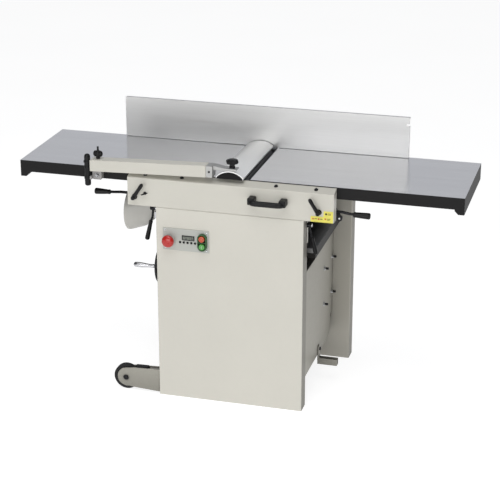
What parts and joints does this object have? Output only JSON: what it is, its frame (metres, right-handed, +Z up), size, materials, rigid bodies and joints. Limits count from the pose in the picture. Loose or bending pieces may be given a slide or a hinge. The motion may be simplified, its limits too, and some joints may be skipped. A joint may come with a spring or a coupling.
{
  "type": "jointer",
  "caption": "Floor-standing combined jointer and thickness planer with hinged surfacing tables, tilting fence, sliding cutter guard, handwheel-raised bed and a transport kit.",
  "frame": {"origin": "centre of the four floor anchor holes, on the floor", "axes": "+X along the tables from outfeed to infeed, +Y from the operator's side to the back, +Z up"},
  "size_m": [1.63, 0.806, 1.015],
  "materials": {
    "cream_paint": "satin powder coat",
    "light_grey_paint": "satin",
    "black_paint": "semi-gloss",
    "dark_steel": "satin",
    "table_iron": "ground top face, black painted aprons",
    "bed_iron": "ground top face",
    "cast_grey": "as cast",
    "steel": "ground",
    "aluminium": "brushed, anodised",
    "guard_aluminium": "polished extrusion",
    "black_plastic": "moulded",
    "black_steel": "blackened",
    "rubber": "matt",
    "red_plastic": "gloss",
    "green_plastic": "gloss",
    "yellow_label": "printed film"
  },
  "bodies": {
    "base": {"floor_flanges": "dark_steel", "base_tray": "dark_steel", "front_cabinet": "cream_paint", "rear_cabinet": "cream_paint", "rear_panels": "cream_paint", "side_frames": "cream_paint", "rear_crossmember": "cream_paint", "bearing_blocks": "cast_grey", "cutterhead_bearings": "steel", "chip_hood": "dark_steel", "dust_duct": "light_grey_paint", "motor": "cast_grey", "drive_belt": "rubber", "lift_column": "dark_steel", "control_plate": "aluminium", "control_housings": "black_plastic", "frame_bolts": "steel", "hinge_brackets": "black_steel", "wheel_brackets": "cream_paint", "wheel_axles": "black_steel", "tow_bracket": "cream_paint", "cable_gland": "black_plastic", "lever_shafts": "dark_steel"},
    "table_frame": {"front_beam": "cream_paint", "table_carriers": "black_paint", "lift_handle": "black_plastic", "beam_screws": "black_steel", "beam_label": "yellow_label", "fence_slide_block": "cast_grey"},
    "outfeed": {"outfeed_table": "table_iron", "guard_bracket": "light_grey_paint", "guard_post": "black_plastic"},
    "infeed": {"infeed_table": "table_iron"},
    "outfeed_lever_body": {"outfeed_lever": "black_plastic"},
    "infeed_lever_body": {"infeed_lever": "black_plastic"},
    "left_clamp": {"clamp_lever_left": "black_steel"},
    "right_clamp": {"clamp_lever_right": "black_steel"},
    "fence_slider": {"fence_bar": "aluminium"},
    "fence": {"fence_plate": "aluminium"},
    "fence_lock": {"fence_lock_lever": "black_plastic"},
    "guard_swing": {"guard_arm": "cream_paint", "guard_arm_end": "steel"},
    "arm_knob": {"guard_arm_knob": "black_plastic"},
    "guard": {"guard_plate": "guard_aluminium"},
    "clamp_knob": {"guard_clamp_knob": "black_plastic"},
    "cutter_block": {"cutterhead": "steel"},
    "motor_drive": {"motor_rotor": "steel"},
    "infeed_roller": {"feed_roller_infeed": "steel"},
    "outfeed_roller": {"feed_roller_outfeed": "steel"},
    "thicknesser_bed": {"thicknesser_table": "bed_iron"},
    "screw": {"lift_screw": "steel"},
    "wheel": {"handwheel": "black_steel"},
    "crank_grip": {"handwheel_grip": "steel"},
    "feed_control": {"feed_lever": "black_plastic"},
    "bed_lock": {"table_lock_lever": "black_plastic"},
    "estop": {"estop_button": "red_plastic"},
    "start": {"start_button": "green_plastic"},
    "stop": {"stop_button": "red_plastic"},
    "front_kit_wheel": {"kit_wheel_front": "rubber"},
    "rear_kit_wheel": {"kit_wheel_rear": "rubber"}
  },
  "joints": [
    {"name": "table_lift", "type": "hinge", "parent": "base", "child": "table_frame", "pos_m": [0, 0.255, 0.83], "axis": [-1, 0, 0], "range_deg": [0, 85]},
    {"name": "outfeed_height", "type": "slide", "parent": "table_frame", "child": "outfeed", "axis": [0, 0, 1], "range_m": [-0.001, 0.001]},
    {"name": "infeed_height", "type": "slide", "parent": "table_frame", "child": "infeed", "axis": [0, 0, 1], "range_m": [-0.005, 0]},
    {"name": "outfeed_lever_swing", "type": "hinge", "parent": "table_frame", "child": "outfeed_lever_body", "pos_m": [-0.362, -0.22, 0.764], "axis": [0, 1, 0], "range_deg": [-10, 10]},
    {"name": "infeed_lever_swing", "type": "hinge", "parent": "table_frame", "child": "infeed_lever_body", "pos_m": [0.364, -0.22, 0.764], "axis": [0, 1, 0], "range_deg": [0, 25]},
    {"name": "left_clamp_turn", "type": "hinge", "parent": "table_frame", "child": "left_clamp", "pos_m": [-0.351, -0.292, 0.773], "axis": [0, -1, 0], "range_deg": [0, 90]},
    {"name": "right_clamp_turn", "type": "hinge", "parent": "table_frame", "child": "right_clamp", "pos_m": [0.326, -0.292, 0.777], "axis": [0, -1, 0], "range_deg": [0, 90]},
    {"name": "fence_slide", "type": "slide", "parent": "table_frame", "child": "fence_slider", "axis": [0, 1, 0], "range_m": [-0.25, 0]},
    {"name": "fence_tilt", "type": "hinge", "parent": "fence_slider", "child": "fence", "pos_m": [0, 0.178, 0.87], "axis": [-1, 0, 0], "range_deg": [0, 45]},
    {"name": "fence_lock_turn", "type": "hinge", "parent": "table_frame", "child": "fence_lock", "pos_m": [-0.15, 0.212, 0.88], "axis": [1, 0, 0], "range_deg": [0, 60]},
    {"name": "guard_arm_swing", "type": "hinge", "parent": "outfeed", "child": "guard_swing", "pos_m": [-0.53, -0.272, 0.87], "axis": [0, 0, -1], "range_deg": [0, 90]},
    {"name": "arm_knob_turn", "type": "hinge", "parent": "guard_swing", "child": "arm_knob", "pos_m": [-0.491, -0.264, 0.9], "axis": [0, 0, 1], "continuous": true},
    {"name": "guard_slide", "type": "slide", "parent": "guard_swing", "child": "guard", "axis": [0, 1, 0], "range_m": [-0.25, 0]},
    {"name": "clamp_knob_turn", "type": "hinge", "parent": "guard_swing", "child": "clamp_knob", "pos_m": [0.008, -0.26, 0.91], "axis": [0, 0, 1], "continuous": true},
    {"name": "cutterhead_spin", "type": "hinge", "parent": "base", "child": "cutter_block", "pos_m": [0.015, -0.03, 0.812], "axis": [0, 1, 0], "continuous": true},
    {"name": "motor_spin", "type": "hinge", "parent": "base", "child": "motor_drive", "pos_m": [0.14, 0.18, 0.215], "axis": [0, 1, 0], "continuous": true},
    {"name": "infeed_roller_spin", "type": "hinge", "parent": "base", "child": "infeed_roller", "pos_m": [0.077, -0.03, 0.772], "axis": [0, 1, 0], "continuous": true},
    {"name": "outfeed_roller_spin", "type": "hinge", "parent": "base", "child": "outfeed_roller", "pos_m": [-0.047, -0.03, 0.772], "axis": [0, 1, 0], "continuous": true},
    {"name": "bed_slide", "type": "slide", "parent": "base", "child": "thicknesser_bed", "axis": [0, 0, 1], "range_m": [-0.048, 0.035]},
    {"name": "screw_turn", "type": "hinge", "parent": "base", "child": "screw", "pos_m": [0, -0.03, 0.3], "axis": [0, 0, 1], "range_deg": [-4320, 3150]},
    {"name": "handwheel_turn", "type": "hinge", "parent": "base", "child": "wheel", "pos_m": [-0.302, -0.135, 0.468], "axis": [1, 0, 0], "range_deg": [-4320, 3150]},
    {"name": "crank_grip_spin", "type": "hinge", "parent": "wheel", "child": "crank_grip", "pos_m": [-0.35, -0.2, 0.479], "axis": [1, 0, 0], "continuous": true},
    {"name": "feed_lever_swing", "type": "hinge", "parent": "base", "child": "feed_control", "pos_m": [-0.317, -0.18, 0.7], "axis": [-1, 0, 0], "range_deg": [0, 60]},
    {"name": "bed_lock_swing", "type": "hinge", "parent": "base", "child": "bed_lock", "pos_m": [0.284, -0.24, 0.712], "axis": [-1, 0, 0], "range_deg": [0, 60]},
    {"name": "estop_press", "type": "slide", "parent": "base", "child": "estop", "axis": [0, 1, 0], "range_m": [0, 0.005], "stiffness_N_per_m": 400},
    {"name": "start_press", "type": "slide", "parent": "base", "child": "start", "axis": [0, 1, 0], "range_m": [0, 0.003], "stiffness_N_per_m": 400},
    {"name": "stop_press", "type": "slide", "parent": "base", "child": "stop", "axis": [0, 1, 0], "range_m": [0, 0.003], "stiffness_N_per_m": 400},
    {"name": "front_kit_wheel_roll", "type": "hinge", "parent": "base", "child": "front_kit_wheel", "pos_m": [-0.406, -0.26, 0.05], "axis": [0, 1, 0], "continuous": true},
    {"name": "rear_kit_wheel_roll", "type": "hinge", "parent": "base", "child": "rear_kit_wheel", "pos_m": [-0.406, 0.259, 0.05], "axis": [0, 1, 0], "continuous": true}
  ],
  "couplings": [
    {"joint": "outfeed_lever_swing", "follows": "outfeed_height", "rad_per_m": 174.53},
    {"joint": "infeed_lever_swing", "follows": "infeed_height", "rad_per_m": -87.266},
    {"joint": "guard_slide", "follows": "fence_slide", "ratio": 1},
    {"joint": "motor_spin", "follows": "cutterhead_spin", "ratio": 0.76},
    {"joint": "outfeed_roller_spin", "follows": "infeed_roller_spin", "ratio": 1},
    {"joint": "bed_slide", "follows": "handwheel_turn", "m_per_rad": 0.00063662},
    {"joint": "screw_turn", "follows": "handwheel_turn", "ratio": 1}
  ]
}
